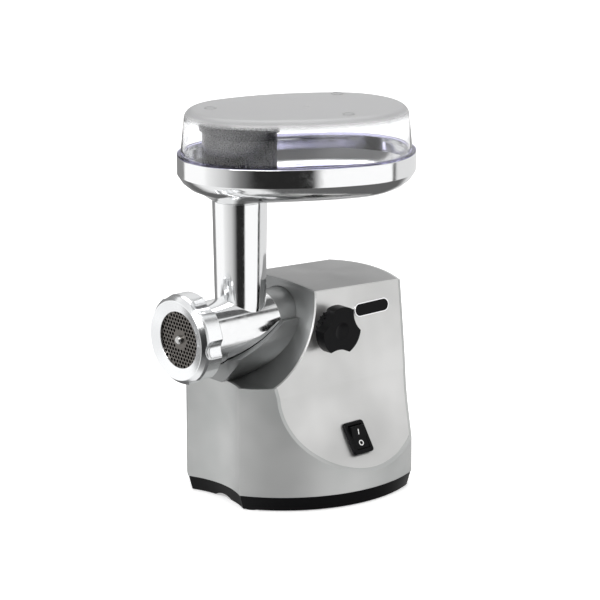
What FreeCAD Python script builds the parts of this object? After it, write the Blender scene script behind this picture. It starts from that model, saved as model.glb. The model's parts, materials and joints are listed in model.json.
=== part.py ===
"""Electric meat grinder: every piece is its own solid, written to parts/NODE.step in millimetres.

+Z is up, -Y is the nozzle end and +X is the side with the lock knob and the switch.
While modelling, x = y = 0 is the axis of the feed neck and z = 0 is the floor line of the
housing; export() moves the origin to the centre of the bounding box, on the table plane.
"""
import FreeCAD, Part
import math
import os

V = FreeCAD.Vector
X_AXIS = V(1, 0, 0)
Y_AXIS = V(0, 1, 0)
Z_AXIS = V(0, 0, 1)

# --- driving dimensions -------------------------------------------------------------------
ORIGIN_X, ORIGIN_Y = 7.5, 45.25  # box centre, measured from the neck axis
TABLE_Z = -3.0                   # the table plane under the rubber feet
AXIS_Z = 162.0                   # height of the feed screw's axis
WALL = 2.5                       # housing wall
RUN = 0.05                       # radial clearance of a running fit
GAP = 0.3                        # gap between bodies that only pass each other
FAR = 400.0                      # longer than anything in the model

# housing: plan outline, side profile, top and front recess
FRONT_CORNER = (38.0, -34.0)
SCOOP_Y = -25.5                  # deepest point of the hollow front wall
SIDE_R, SIDE_MAX = 133.0, (102.5, 80.0)
REAR_R, REAR_Y = 160.0, 164.0
BASE_TOP = 12.0
BASE_LOW = TABLE_Z + 1.0         # underside of the base plate
FLOOR_TOP = BASE_LOW + 4.5
TOP_X, TOP_Z = 50.0, 195.0       # upper edge of the side panel
SIDE_LEAN = 16.0 / 88.0          # the side panel leans in by this much for each mm of height
SIDE_CURVE = [(66.0, 107.0), (71.0, 81.0), (79.3, 62.0), (90.5, 44.5), (104.0, 26.0)]
TOP_CROWN_Z, TOP_EDGE_Z, TOP_TILT = 198.7, 195.7, 0.055
RECESS_FRONT, RECESS_MID, RECESS_TOP = (-14.0, 117.0), (30.0, 146.0), (50.0, 195.0)
SHELF_Z = 116.0
CRADLE_FRONT = -33.0

# head
BARREL_R, BORE_R = 30.0, 24.5
BARREL_REAR, SPIGOT_REAR = 25.0, 64.0
SPIGOT_R = 27.0
SLEEVE_REAR = 68.0
MOUTH_Y, THREAD_R = -70.0, 34.9
PLATE_R, PLATE_T = 31.0, 5.0
RING_FRONT, RING_REAR, RING_R = -77.5, -55.0, 42.3
FACE_R, DISH_Y = 37.3, -74.2     # rim of the ring's dished face, and the face's middle
RING_LIP = -72.5
PLATE_FRONT = RING_LIP + 0.1
APERTURE_R = 26.6
NECK_TOP, NECK_R_TOP, NECK_R_LOW, THROAT_R = 284.5, 25.75, 23.5, 20.0

# tray, cover and pusher
TRAY_TURN = 28.7                 # the tray's long axis, degrees from +Y towards +X
EGG_SMALL, EGG_SMALL_R = 7.7, 65.3
EGG_BIG, EGG_BIG_R = 92.0, 73.3
EGG_SIDE_R = 212.0
TRAY_RIM, TRAY_BAND = 325.2, 308.0
TRAY_T = 1.6
BOWL = [(0.0, 308.0), (-4.5, 301.0), (-11.0, 295.5), (-20.0, 291.5)]
COVER_TOP, COVER_T = 368.4, 2.0
COVER_SHOULDER, SHOULDER_IN = 9.5, 9.0
COVER_FEET = [(-25.5, -8.0), (103.5, -50.0), (92.0, 46.0)]
PUSHER_R, PUSHER_TOP = 34.6, 357.0

# clamp, switch, badge
KNOB_Y = 58.5
KNOB_X0, KNOB_X1, KNOB_R = 61.0, 77.5, 23.0
KNOB_TURN = 83.0                 # direction of the first of its three lobes
SWITCH = V(83.7, 72.0, 57.1)
BADGE = V(54.5, 115.0, 170.4)

# gear train: teeth and module of each pair, and the y range of each plane
OUT_TEETH, PINION_TEETH, MODULE_OUT = 36, 12, 1.4
GEAR_TEETH, MODULE_SECOND, MODULE_FIRST = 48, 1.0, 0.8
PLANE_OUT, PLANE_SECOND, PLANE_FIRST = (75.0, 83.0), (85.0, 91.0), (93.0, 98.0)
SECOND_Z = AXIS_Z - MODULE_OUT * (OUT_TEETH + PINION_TEETH) / 2
FIRST_Z = SECOND_Z - MODULE_SECOND * (GEAR_TEETH + PINION_TEETH) / 2
MOTOR_Z = FIRST_Z - MODULE_FIRST * (GEAR_TEETH + PINION_TEETH) / 2
BOX_FRONT, BOX_SPLIT, BOX_REAR = 70.0, 99.5, 103.0


# --- small helpers ------------------------------------------------------------------------
def cyl(axis, radius, start, length):
    return Part.makeCylinder(radius, length, start, axis)


def cyl_y(radius, y0, y1, x=0.0, z=AXIS_Z):
    return cyl(Y_AXIS, radius, V(x, y0, z), y1 - y0)


def cyl_z(radius, z0, z1, x=0.0, y=0.0):
    return cyl(Z_AXIS, radius, V(x, y, z0), z1 - z0)


def cyl_x(radius, x0, x1, y, z):
    return cyl(X_AXIS, radius, V(x0, y, z), x1 - x0)


def tube_y(outer, inner, y0, y1, x=0.0, z=AXIS_Z):
    return cyl_y(outer, y0, y1, x, z).cut(cyl_y(inner, y0 - 1, y1 + 1, x, z))


def block(x0, x1, y0, y1, z0, z1):
    return Part.makeBox(x1 - x0, y1 - y0, z1 - z0, V(x0, y0, z0))


def fuse(shapes):
    shapes = list(shapes)
    return shapes[0].multiFuse(shapes[1:]).removeSplitter()


def line(a, b):
    return Part.LineSegment(a, b).toShape()


def arc(a, b, c):
    return Part.Arc(a, b, c).toShape()


def polygon(points):
    return Part.Face(Part.makePolygon(points + points[:1]))


def lathe_y(profile, x=0.0, z=AXIS_Z):
    """Turn a closed outline of (radius, y) points about an axis along Y."""
    face = polygon([V(x + radius, y, z) for radius, y in profile])
    return face.revolve(V(x, 0, z), Y_AXIS, 360)


def lathe_z(profile, x=0.0, y=0.0):
    """Turn a closed outline of (radius, z) points about an upright axis."""
    face = polygon([V(x + radius, y, z) for radius, z in profile])
    return face.revolve(V(x, y, 0), Z_AXIS, 360)


def hexagon_y(across_flats, y0, y1, x=0.0, z=AXIS_Z):
    corner = across_flats / math.sqrt(3)
    turns = [math.radians(60 * k) for k in range(6)]
    points = [V(x + corner * math.cos(t), y0, z + corner * math.sin(t)) for t in turns]
    return polygon(points).extrude(V(0, y1 - y0, 0))


def spread(shape, places):
    """Copies of one shape, joined as separate solids in one compound."""
    return Part.makeCompound([shape.translated(place) for place in places])


def screw(radius, length, head_radius, head_length, start, axis):
    """A pan-head screw: start is under the head and the shank runs along axis."""
    shank = Part.makeCylinder(radius, length, start, axis)
    head = Part.makeCylinder(head_radius, head_length, start, axis * -1)
    slot_start = start - axis * (head_length + 1)
    drive = Part.makeCylinder(head_radius * 0.4, head_length * 0.5 + 1, slot_start, axis)
    return shank.fuse(head).removeSplitter().cut(drive)


# --- housing surfaces ---------------------------------------------------------------------
def crossing(a, ra, b, rb):
    """The crossing of two circles that lies on the right of the line from centre a to centre b."""
    gap = math.hypot(b[0] - a[0], b[1] - a[1])
    along = (ra ** 2 - rb ** 2 + gap ** 2) / (2 * gap)
    across = math.sqrt(ra ** 2 - along ** 2)
    ux, uy = (b[0] - a[0]) / gap, (b[1] - a[1]) / gap
    return a[0] + ux * along + uy * across, a[1] + uy * along - ux * across


SIDE_CENTRE = (SIDE_MAX[0] - SIDE_R, SIDE_MAX[1])
REAR_CENTRE = (0.0, REAR_Y - REAR_R)
SCOOP_DEPTH = SCOOP_Y - FRONT_CORNER[1]
SCOOP_R = (FRONT_CORNER[0] ** 2 + SCOOP_DEPTH ** 2) / (2 * SCOOP_DEPTH)
SCOOP_CENTRE = (0.0, SCOOP_Y - SCOOP_R)


def plan_corners(inset):
    """Front and rear corner of the right side, moved in by inset."""
    side = SIDE_R - inset
    front = crossing(SCOOP_CENTRE, SCOOP_R + inset, SIDE_CENTRE, side)
    rear = crossing(REAR_CENTRE, REAR_R - inset, SIDE_CENTRE, side)
    return front, rear


def plan(inset=0.0):
    """Plan outline at z = 0: hollow front, bulging sides, round back."""
    (fx, fy), (cx, cy) = plan_corners(inset)
    sx, sy = SIDE_MAX[0] - inset, SIDE_MAX[1]
    edges = [
        arc(V(-fx, fy, 0), V(0, SCOOP_Y + inset, 0), V(fx, fy, 0)),
        arc(V(fx, fy, 0), V(sx, sy, 0), V(cx, cy, 0)),
        arc(V(cx, cy, 0), V(0, REAR_Y - inset, 0), V(-cx, cy, 0)),
        arc(V(-cx, cy, 0), V(-sx, sy, 0), V(-fx, fy, 0)),
    ]
    return Part.Face(Part.Wire(edges))


def plan_prism(inset, z0, z1):
    return plan(inset).translated(V(0, 0, z0)).extrude(V(0, 0, z1 - z0))


def side_edges(shift, sign):
    """Side profile from below the base up to past the top, at one side."""
    top_z = 240.0
    top_x = TOP_X - (top_z - TOP_Z) * SIDE_LEAN
    curve = Part.BSplineCurve()
    curve.interpolate([V(sign * (x - shift), 0, z) for x, z in SIDE_CURVE])
    head = V(sign * (top_x - shift), 0, top_z)
    return [
        line(head, V(sign * (SIDE_CURVE[0][0] - shift), 0, SIDE_CURVE[0][1])),
        curve.toShape(),
        line(V(sign * (SIDE_CURVE[-1][0] - shift), 0, SIDE_CURVE[-1][1]), V(sign * 130, 0, 0)),
    ]


def between_sides(shift=0.0):
    """Everything between the two side panels' outer faces, moved in by shift."""
    right, left = side_edges(shift, 1), side_edges(shift, -1)
    top_right = right[0].Vertexes[0].Point
    top_left = left[0].Vertexes[0].Point
    lid = line(top_right, top_left)
    floor = line(V(130, 0, 0), V(-130, 0, 0))
    wire = Part.Wire(Part.sortEdges(right + left + [lid, floor])[0])
    return Part.Face(wire).translated(V(0, -100, 0)).extrude(V(0, FAR, 0))


def under_top(drop=0.0):
    """Everything under the crowned top, which falls slightly towards the back."""
    half = TOP_X
    start_y = -100.0
    rise = (50.0 - start_y) * TOP_TILT - drop
    crown, edge = TOP_CROWN_Z + rise, TOP_EDGE_Z + rise
    sag = (crown - edge) / half ** 2
    wide = 2.6 * half
    low = crown - sag * wide ** 2
    top = arc(V(-wide, start_y, low), V(0, start_y, crown), V(wide, start_y, low))
    walls = [
        line(V(wide, start_y, low), V(wide, start_y, -60)),
        line(V(wide, start_y, -60), V(-wide, start_y, -60)),
        line(V(-wide, start_y, -60), V(-wide, start_y, low)),
    ]
    return Part.Face(Part.Wire([top] + walls)).extrude(V(0, FAR, -FAR * TOP_TILT))


def recess(grow=0.0):
    """The space in front of the housing that the head stands in, grown into the wall."""
    points = [V(-FAR / 2, y + grow, z - grow) for y, z in (RECESS_FRONT, RECESS_MID, RECESS_TOP)]
    front, mid, top = points
    shelf_z = SHELF_Z - grow
    step = V(front.x, front.y - 12, shelf_z)
    edges = [
        line(V(front.x, -120, shelf_z), step),
        line(step, front),
        arc(front, mid, top),
        line(top, V(front.x, top.y + 1, 260)),
        line(V(front.x, top.y + 1, 260), V(front.x, -120, 260)),
        line(V(front.x, -120, 260), V(front.x, -120, shelf_z)),
    ]
    return Part.Face(Part.Wire(edges)).extrude(V(FAR, 0, 0))


def housing_body(inset=0.0, floor=BASE_TOP):
    body = plan_prism(inset, floor, 230)
    body = body.common(between_sides(inset)).common(under_top(inset))
    return body.cut(recess(inset))


def housing_shells():
    """The outer shells, cut out of one body so that their seams meet face to face."""
    body = housing_body()
    wall = body.cut(plan_prism(WALL, 0, 240))
    back_y = plan_corners(0.0)[1][1] - 30
    back_zone = block(-120, 120, back_y, 200, 0, 240).cut(
        cyl_z(REAR_R - WALL, -1, 241, 0, REAR_Y - REAR_R))
    rear = body.common(back_zone)
    skirt = wall.cut(rear)
    inner = body.cut(skirt).cut(rear)
    panels = inner.cut(between_sides(WALL))
    right = panels.common(block(0, 130, -60, 200, 0, 240))
    left = panels.common(block(-130, 0, -60, 200, 0, 240))
    core = inner.cut(panels)
    front = core.common(recess(WALL))
    top = core.cut(front).cut(under_top(WALL))
    return {"lower_skirt": skirt, "rear_cover": rear, "right_side_panel": right,
            "left_side_panel": left, "front_recess_panel": front, "top_cover": top}


# --- housing pieces -----------------------------------------------------------------------
def vent_slots(count, pitch, make_slot):
    middle = (count - 1) / 2
    return fuse(make_slot((k - middle) * pitch) for k in range(count))


def housing():
    parts = housing_shells()
    panel = parts["front_recess_panel"].cut(cyl_y(29.3, -60, 90))
    parts["front_recess_panel"] = panel.cut(cyl_y(BARREL_R + 0.6, -60, BARREL_REAR + GAP))
    vents = vent_slots(9, 8.0, lambda x: block(x - 1.6, x + 1.6, 140, 180, 62, 92))
    inlet = cyl_y(6.0, 140, 180, 0, 34)
    parts["rear_cover"] = parts["rear_cover"].cut(vents).cut(inlet)
    stud_hole = cyl_x(6.0, 40, 80, KNOB_Y, AXIS_Z)
    switch_hole = switch_box(20.6, 27.6, -30, 10)
    badge_pins = fuse(cyl_x(1.9, 40, 60, BADGE.y + dy, BADGE.z) for dy in (-14, 14))
    panel = parts["right_side_panel"].cut(stud_hole).cut(switch_hole).cut(badge_pins)
    parts["right_side_panel"] = panel
    return parts


def feet_places():
    return [(-38, -18), (38, -18), (-68, 118), (68, 118)]


def screw_places():
    return [(-22, -12), (22, -12), (-48, 130), (48, 130)]


def base_plate():
    """Tray-shaped base with a shallow arch under the hollow front."""
    arch_rise, arch_r = 3.2, 22.0
    low = plan(4.2).OuterWire.translated(V(0, 0, BASE_LOW))
    high = plan(0.6).OuterWire.translated(V(0, 0, BASE_TOP))
    base = Part.makeLoft([low, high], True, True)
    base = base.cut(plan_prism(8.0, FLOOR_TOP, 20))
    posts = [cyl_z(5.0, BASE_LOW, 30, x, y) for x, y in screw_places()]
    base = fuse([base] + posts)
    for x, y in screw_places():
        base = base.cut(cyl_z(2.1, TABLE_Z, 32, x, y))
        base = base.cut(cyl_z(4.2, TABLE_Z, BASE_LOW + 2.2, x, y))
    for x, y in feet_places():
        base = base.cut(cyl_z(3.6, TABLE_Z, FLOOR_TOP + 1, x, y))
    slots = vent_slots(11, 7.0, lambda x: block(x - 1.5, x + 1.5, 84, 112, TABLE_Z, FLOOR_TOP + 1))
    arch = cyl_y(arch_r, -60, 5, 0, BASE_LOW + arch_rise - arch_r)
    return base.cut(slots).cut(arch)


def rubber_feet():
    """Round pads, each with a plug pushed through the base."""
    pad_r, plug_r, plug_top = 9.0, 3.6, FLOOR_TOP + 3.0
    foot = lathe_z([(0, TABLE_Z), (pad_r - 0.8, TABLE_Z), (pad_r, TABLE_Z + 0.8), (pad_r, BASE_LOW),
                    (plug_r, BASE_LOW), (plug_r, plug_top), (0, plug_top)])
    return spread(foot, [V(x, y, 0) for x, y in feet_places()])


def base_screws():
    one = screw(2.0, 24, 4.0, 1.8, V(0, 0, BASE_LOW + 2.2), Z_AXIS)
    return spread(one, [V(x, y, 0) for x, y in screw_places()])


def socket_sleeve():
    """The bore that the head plugs into, with the boss that carries the clamp."""
    panel_back = RECESS_TOP[0] + WALL + 0.5
    sleeve = cyl_y(29.0, BARREL_REAR + GAP, panel_back).fuse(cyl_y(31.0, panel_back, SLEEVE_REAR))
    flange = cyl_y(30.0, SLEEVE_REAR - 2, BOX_FRONT)
    boss = block(20, 46, KNOB_Y - 8, KNOB_Y + 8, AXIS_Z - 9, AXIS_Z + 9)
    body = fuse([sleeve, flange, boss])
    body = body.cut(cyl_y(SPIGOT_R + RUN, 0, SLEEVE_REAR - 2)).cut(cyl_y(15.0, 0, 90))
    nut_pocket = block(34, 42, KNOB_Y - 6.5 - RUN, KNOB_Y + 6.5 + RUN, AXIS_Z - 6.5, AXIS_Z + 10)
    return body.cut(cyl_x(4.0 + GAP, 15, 60, KNOB_Y, AXIS_Z)).cut(nut_pocket)


def above_rake():
    """The space over the cradle's edge, which climbs from the front to the recess."""
    low, mid, high = V(-60, CRADLE_FRONT - 7, 137), V(-60, -5, 151), V(-60, 24, 169)
    edges = [arc(low, mid, high), line(high, V(-60, 24, 260)),
             line(V(-60, 24, 260), V(-60, low.y, 260)), line(V(-60, low.y, 260), low)]
    return Part.Face(Part.Wire(edges)).extrude(V(120, 0, 0))


def upright(edge):
    return abs(edge.tangentAt(edge.FirstParameter).z) > 0.9


def head_cradle():
    """Boat-shaped rest under the barrel, growing out of the recess."""
    keel, side, top_z = 12.0, 34.0, 169.0
    bilge = V(28.5, CRADLE_FRONT, 133)
    foot, rail = V(keel, CRADLE_FRONT, SHELF_Z), V(side, CRADLE_FRONT, top_z)

    def flip(p):
        return V(-p.x, p.y, p.z)

    section = [line(flip(foot), foot), arc(foot, bilge, rail), line(rail, flip(rail)),
               arc(flip(rail), flip(bilge), flip(foot))]
    hull = Part.Face(Part.Wire(section)).extrude(V(0, 60 - CRADLE_FRONT, 0))
    bow = block(-side - 1, side + 1, CRADLE_FRONT, 80, SHELF_Z - 1, top_z + 1)
    bow = bow.makeFillet(16.0, [e for e in bow.Edges if upright(e) and e.CenterOfMass.y < 0])
    hull = hull.common(bow)
    hull = hull.cut(cyl_y(BARREL_R + 0.6, -60, 61)).cut(above_rake())
    return hull.cut(housing_body())


def clamp_nut():
    nut = block(34.2, 41.8, KNOB_Y - 6.5, KNOB_Y + 6.5, AXIS_Z - 6.4, AXIS_Z + 6.4)
    return nut.cut(cyl_x(4.0 + RUN, 30, 50, KNOB_Y, AXIS_Z))


def stadium(half_long, half_high, x0, x1):
    straight = half_long - half_high
    return fuse([block(x0, x1, -straight, straight, -half_high, half_high),
                 cyl_x(half_high, x0, x1, -straight, 0), cyl_x(half_high, x0, x1, straight, 0)])


def badge_plate():
    """Blank plate with a raised rim, held by two pins."""
    half_long, half_high, thick, rim = 21.8, 6.6, 1.4, 1.1
    pins = [cyl_x(1.0, -3.5, 0, dy, 0) for dy in (-14, 14)]
    plate = fuse([stadium(half_long, half_high, 0, thick)] + pins)
    plate = plate.cut(stadium(half_long - rim, half_high - rim, thick - 0.4, thick + 1))
    plate.rotate(V(0, 0, 0), Y_AXIS, -math.degrees(math.atan(SIDE_LEAN)))
    return plate.translated(BADGE)


# --- rocker switch ------------------------------------------------------------------------
SWITCH_TILT = 34.0               # the switch's face leans back from upright by this much
ROCKER_SWING = 11.0              # the rocker tilts by this much to either side of the middle


def place_switch(shape):
    """From the switch's own frame (+X out of the panel, +Z up the panel) to its place."""
    shape = shape.copy()
    shape.rotate(V(0, 0, 0), Y_AXIS, -SWITCH_TILT)
    return shape.translated(SWITCH)


def switch_box(width, height, x0, x1):
    return place_switch(block(x0, x1, -width / 2, width / 2, -height / 2, height / 2))


def along_x(edge):
    return abs(edge.tangentAt(edge.FirstParameter).x) > 0.9


def switch_frame():
    """Snap-in frame with a chamfered rim, and three terminals behind."""
    rim = block(0.8, 3.2, -12.5, 12.5, -16.0, 16.0)
    rim = rim.makeFillet(3.2, [e for e in rim.Edges if along_x(e)])
    rim = rim.makeChamfer(1.2, [e for e in rim.Edges if e.CenterOfMass.x > 3.1])
    case = block(-22, 0.8, -10.0, 10.0, -13.5, 13.5)
    pocket = block(-9, 5, -8.4, 8.4, -12.2, 12.2)
    body = rim.fuse(case).removeSplitter().cut(pocket)
    terminals = [block(-29, -22, -2.5, 2.5, z - 0.4, z + 0.4) for z in (-8, 0, 8)]
    return place_switch(fuse([body] + terminals))


def switch_rocker():
    """The rocker, with its lower half pressed in: the off position."""
    half, width, front, hollow = 10.7, 8.0, 5.0, 1.8
    upper = [(-5.0, 6.0), (-1.5, 11.6), (2.6, 11.5), (front, half)]
    lower = [(x, -z) for x, z in reversed(upper)]
    outline = [V(x, -width, z) for x, z in upper + [(front - hollow, 0.0)] + lower]
    body = polygon(outline).extrude(V(0, 2 * width, 0))
    body.rotate(V(0, 0, 0), Y_AXIS, ROCKER_SWING)
    return place_switch(body)


# --- lock knob ----------------------------------------------------------------------------
def lock_knob():
    """Three-lobed grip on a ribbed collar, with a thumb dimple in its face."""
    lobes, valley, bite, collar, ribs = 3, 17.3, 25.0, 17.6, 24
    body = cyl_x(KNOB_R, KNOB_X0 + 5, KNOB_X1, KNOB_Y, AXIS_Z)
    for k in range(lobes):
        angle = math.radians(KNOB_TURN + 360 / lobes * (k + 0.5))
        y, z = (valley + bite) * math.cos(angle), (valley + bite) * math.sin(angle)
        body = body.cut(cyl_x(bite, KNOB_X0, KNOB_X1 + 1, KNOB_Y + y, AXIS_Z + z))
    rib = block(KNOB_X0, KNOB_X0 + 6, KNOB_Y - 0.8, KNOB_Y + 0.8, AXIS_Z, AXIS_Z + collar + 1.2)
    parts = [body, cyl_x(collar, KNOB_X0, KNOB_X0 + 6, KNOB_Y, AXIS_Z)]
    for k in range(ribs):
        turned_rib = rib.copy()
        turned_rib.rotate(V(0, KNOB_Y, AXIS_Z), X_AXIS, 360 / ribs * k)
        parts.append(turned_rib)
    dimple = Part.makeSphere(22, V(KNOB_X1 + 20.4, KNOB_Y, AXIS_Z))
    return fuse(parts).cut(dimple).cut(cyl_x(4.0, KNOB_X0 - 1, KNOB_X0 + 11, KNOB_Y, AXIS_Z))


def clamp_stud():
    return cyl_x(4.0, SPIGOT_R + GAP, KNOB_X0 + 11, KNOB_Y, AXIS_Z)


def inlet_gland():
    """Bush in the rear wall where the mains lead enters."""
    profile = [(3.7, 156), (8.5, 156), (8.5, 160.5), (5.9, 160.5), (5.9, 164.6), (9.5, 164.6),
               (9.0, 168), (4.9, 168), (3.7, 164)]
    return lathe_y(profile, 0, 34)


# --- gears and shafts ---------------------------------------------------------------------
def gear(teeth, module, y_range, z, phase, bore):
    """A spur gear about an axis along Y; phase is the direction of one tooth in degrees."""
    pitch = module * teeth / 2
    root, tip = pitch - 1.25 * module, pitch + 0.95 * module
    step = 360 / teeth
    half_root, half_tip = 0.27 * step, 0.11 * step
    points = []
    for k in range(teeth):
        centre = phase + k * step
        flank = ((root, -half_root), (tip, -half_tip), (tip, half_tip), (root, half_root))
        for radius, turn in flank:
            angle = math.radians(centre + turn)
            points.append(V(radius * math.cos(angle), y_range[0], z + radius * math.sin(angle)))
    body = polygon(points).extrude(V(0, y_range[1] - y_range[0], 0))
    return body.cut(cyl_y(bore, 0, 200, 0, z))


def big_gear(teeth, module, y_range, z, bore):
    """A gear whose lowest point is a gap, lightened by a ring of round holes."""
    body = gear(teeth, module, y_range, z, -90 + 180 / teeth, bore)
    pitch = module * teeth / 2
    middle = (pitch + bore) / 2
    hole = (pitch - bore) * 0.2
    for k in range(6):
        angle = math.radians(60 * k)
        body = body.cut(cyl_y(hole, 0, 200, middle * math.cos(angle), z + middle * math.sin(angle)))
    return body


def pinion(module, y_range, z, bore):
    """A pinion with a tooth pointing straight up at the gear above it."""
    return gear(PINION_TEETH, module, y_range, z, 90, bore)


OUT_SHAFT_R, MID_SHAFT_R, MOTOR_SHAFT_R = 6.0, 4.0, 3.0
CUP_FRONT, CUP_REAR = 55.0, 66.5
HEX_AF = 14.0


def output_shaft():
    """Shaft of the last gear, with a hexagonal socket for the screw's coupling."""
    socket = hexagon_y(HEX_AF + 0.3, CUP_FRONT - 1, CUP_REAR - 2.5)
    cup = cyl_y(12.0, CUP_FRONT, CUP_REAR).cut(socket)
    return cup.fuse(cyl_y(OUT_SHAFT_R, CUP_REAR, BOX_REAR - 0.5)).removeSplitter()


def gear_outline(grow, y0, y1):
    """The space that the gear train takes, grown by a wall."""
    top, mid, low = AXIS_Z, SECOND_Z, FIRST_Z
    lobes = [cyl_y(27.4 + grow, y0, y1, 0, top), cyl_y(26.0 + grow, y0, y1, 0, mid),
             cyl_y(21.0 + grow, y0, y1, 0, low), cyl_y(9.0 + grow, y0, y1, 0, MOTOR_Z)]
    webs = [block(-21 - grow, 21 + grow, y0, y1, low, top),
            block(-8 - grow, 8 + grow, y0, y1, MOTOR_Z, low)]
    return fuse(lobes + webs)


BOX_WALL = 3.0
BUSH_WALL = 2.0
BOX_SCREWS = [(-26.6, SECOND_Z + 17), (26.6, SECOND_Z + 17),
              (-20.5, FIRST_Z - 15), (20.5, FIRST_Z - 15)]


def shaft_seats():
    """Centre height and bush radius of the three geared shafts."""
    return [(AXIS_Z, OUT_SHAFT_R + BUSH_WALL), (SECOND_Z, MID_SHAFT_R + BUSH_WALL),
            (FIRST_Z, MID_SHAFT_R + BUSH_WALL)]


def gearbox_case():
    body = gear_outline(BOX_WALL, BOX_FRONT, BOX_SPLIT)
    body = body.cut(gear_outline(0, BOX_FRONT + BOX_WALL, BOX_SPLIT + 1))
    ears = [cyl_y(4.2, BOX_SPLIT - 12, BOX_SPLIT, x, z) for x, z in BOX_SCREWS]
    body = fuse([body] + [ear.cut(gear_outline(0.5, 0, 200)) for ear in ears])
    for z, radius in shaft_seats():
        body = body.cut(cyl_y(radius, 0, BOX_FRONT + BOX_WALL + 1, 0, z))
    for x, z in BOX_SCREWS:
        body = body.cut(cyl_y(1.7, BOX_SPLIT - 11, BOX_SPLIT + 1, x, z))
    return body


def gearbox_cover():
    plate = gear_outline(BOX_WALL, BOX_SPLIT, BOX_REAR)
    ears = [cyl_y(4.2, BOX_SPLIT, BOX_REAR, x, z) for x, z in BOX_SCREWS]
    body = fuse([plate] + ears)
    for z, radius in shaft_seats():
        body = body.cut(cyl_y(radius, 0, 200, 0, z))
    body = body.cut(cyl_y(8.0, 0, 200, 0, MOTOR_Z))
    for x, z in BOX_SCREWS:
        body = body.cut(cyl_y(1.75, 0, 200, x, z))
    return body


def gearbox_screws():
    one = screw(1.7, 12, 3.2, 2.0, V(0, BOX_REAR, 0), Y_AXIS * -1)
    return spread(one, [V(x, 0, z) for x, z in BOX_SCREWS])


def shaft_bushes():
    bushes = []
    for (z, radius), bore in zip(shaft_seats(), (OUT_SHAFT_R, MID_SHAFT_R, MID_SHAFT_R)):
        for y0, y1 in ((BOX_FRONT, BOX_FRONT + BOX_WALL), (BOX_SPLIT, BOX_REAR)):
            bushes.append(tube_y(radius, bore + RUN, y0, y1, 0, z))
    return Part.makeCompound(bushes)


def middle_shaft(z):
    return cyl_y(MID_SHAFT_R, BOX_FRONT + 0.3, BOX_REAR - 0.3, 0, z)


# --- motor --------------------------------------------------------------------------------
STATOR = (117.0, 143.0)
STATOR_R, STATOR_BORE, ROTOR_R = 38.0, 20.0, 19.3
BRACKET_FRONT, BRACKET_REAR = (105.3, 108.0), (153.0, 155.5)
BOLT_X, FAN_R = 28.0, 24.0
FAN = (108.7, 113.5)


def motor_stator():
    body = tube_y(STATOR_R, STATOR_BORE, *STATOR, 0, MOTOR_Z)
    flats = [block(-50, -31, 110, 150, 0, 130), block(31, 50, 110, 150, 0, 130)]
    windows = fuse(tube_y(29.5, 21.5, 110, 150, 0, MOTOR_Z).common(
        block(-12, 12, 110, 150, z0, z0 + 40)) for z0 in (MOTOR_Z, MOTOR_Z - 40))
    slots = windows.common(block(-60, 60, 110, 150, MOTOR_Z - 40, MOTOR_Z + 40))
    for flat in flats + [slots]:
        body = body.cut(flat)
    for x in (-BOLT_X, BOLT_X):
        body = body.cut(cyl_y(2.1, 110, 150, x, MOTOR_Z))
    return body


def field_coils():
    """One coil in the upper and one in the lower window, looped past the stator's ends."""
    coils = []
    for sign in (1, -1):
        ring = tube_y(29.0, 22.0, STATOR[0] - 2.3, STATOR[1] + 2.3, 0, MOTOR_Z)
        low, high = sorted((MOTOR_Z + sign * 19.0, MOTOR_Z + sign * 30))
        coils.append(ring.common(block(-11.5, 11.5, 100, 160, low, high)))
    return Part.makeCompound(coils)


def rotor_core():
    body = cyl_y(ROTOR_R, *STATOR, 0, MOTOR_Z)
    slots = 14
    for k in range(slots):
        angle = math.radians(360 / slots * k)
        x, z = 15 * math.cos(angle), MOTOR_Z + 15 * math.sin(angle)
        body = body.cut(cyl_y(1.9, 110, 150, x, z))
    return body.cut(cyl_y(MOTOR_SHAFT_R, 110, 150, 0, MOTOR_Z))


def rotor_windings():
    """The end turns of the rotor winding on both ends of the core."""
    ends = [tube_y(17.0, 7.0, STATOR[0] - 2.2, STATOR[0], 0, MOTOR_Z),
            tube_y(17.0, 7.0, STATOR[1], STATOR[1] + 2.2, 0, MOTOR_Z)]
    return Part.makeCompound(ends)


def commutator():
    return tube_y(9.0, MOTOR_SHAFT_R, 145.6, 152.6, 0, MOTOR_Z)


def carbon_brushes():
    brush = [block(9.2, 20, 146.6, 151.6, MOTOR_Z - 3, MOTOR_Z + 3),
             block(-20, -9.2, 146.6, 151.6, MOTOR_Z - 3, MOTOR_Z + 3)]
    return Part.makeCompound(brush)


def brush_holders():
    holders = []
    for sign in (1, -1):
        x0, x1 = sorted((sign * 12.0, sign * 23.5))
        shell = block(x0, x1, 146.0, 153.0, MOTOR_Z - 4.5, MOTOR_Z + 4.5)
        holders.append(shell.cut(block(-21, 21, 146.6, 151.6, MOTOR_Z - 3, MOTOR_Z + 3)))
    return Part.makeCompound(holders)


def cooling_fan():
    front, back = FAN
    hub = tube_y(9.0, MOTOR_SHAFT_R, front, back, 0, MOTOR_Z)
    disc = tube_y(FAN_R, MOTOR_SHAFT_R, front, front + 1.2, 0, MOTOR_Z)
    blade = block(8.0, FAN_R - 1, front + 0.5, back, MOTOR_Z - 0.7, MOTOR_Z + 0.7)
    blades = []
    for k in range(10):
        turned = blade.copy()
        turned.rotate(V(0, 0, MOTOR_Z), Y_AXIS, 36 * k)
        blades.append(turned)
    return fuse([hub, disc] + blades)


def motor_bracket(y_range):
    y0, y1 = y_range
    bar = block(-33, 33, y0, y1, MOTOR_Z - 9, MOTOR_Z + 9)
    boss = cyl_y(14, y0, y1, 0, MOTOR_Z)
    body = fuse([bar, boss]).cut(cyl_y(8.0, 0, 200, 0, MOTOR_Z))
    for x in (-BOLT_X, BOLT_X):
        body = body.cut(cyl_y(2.1, 0, 200, x, MOTOR_Z))
    return body


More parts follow.
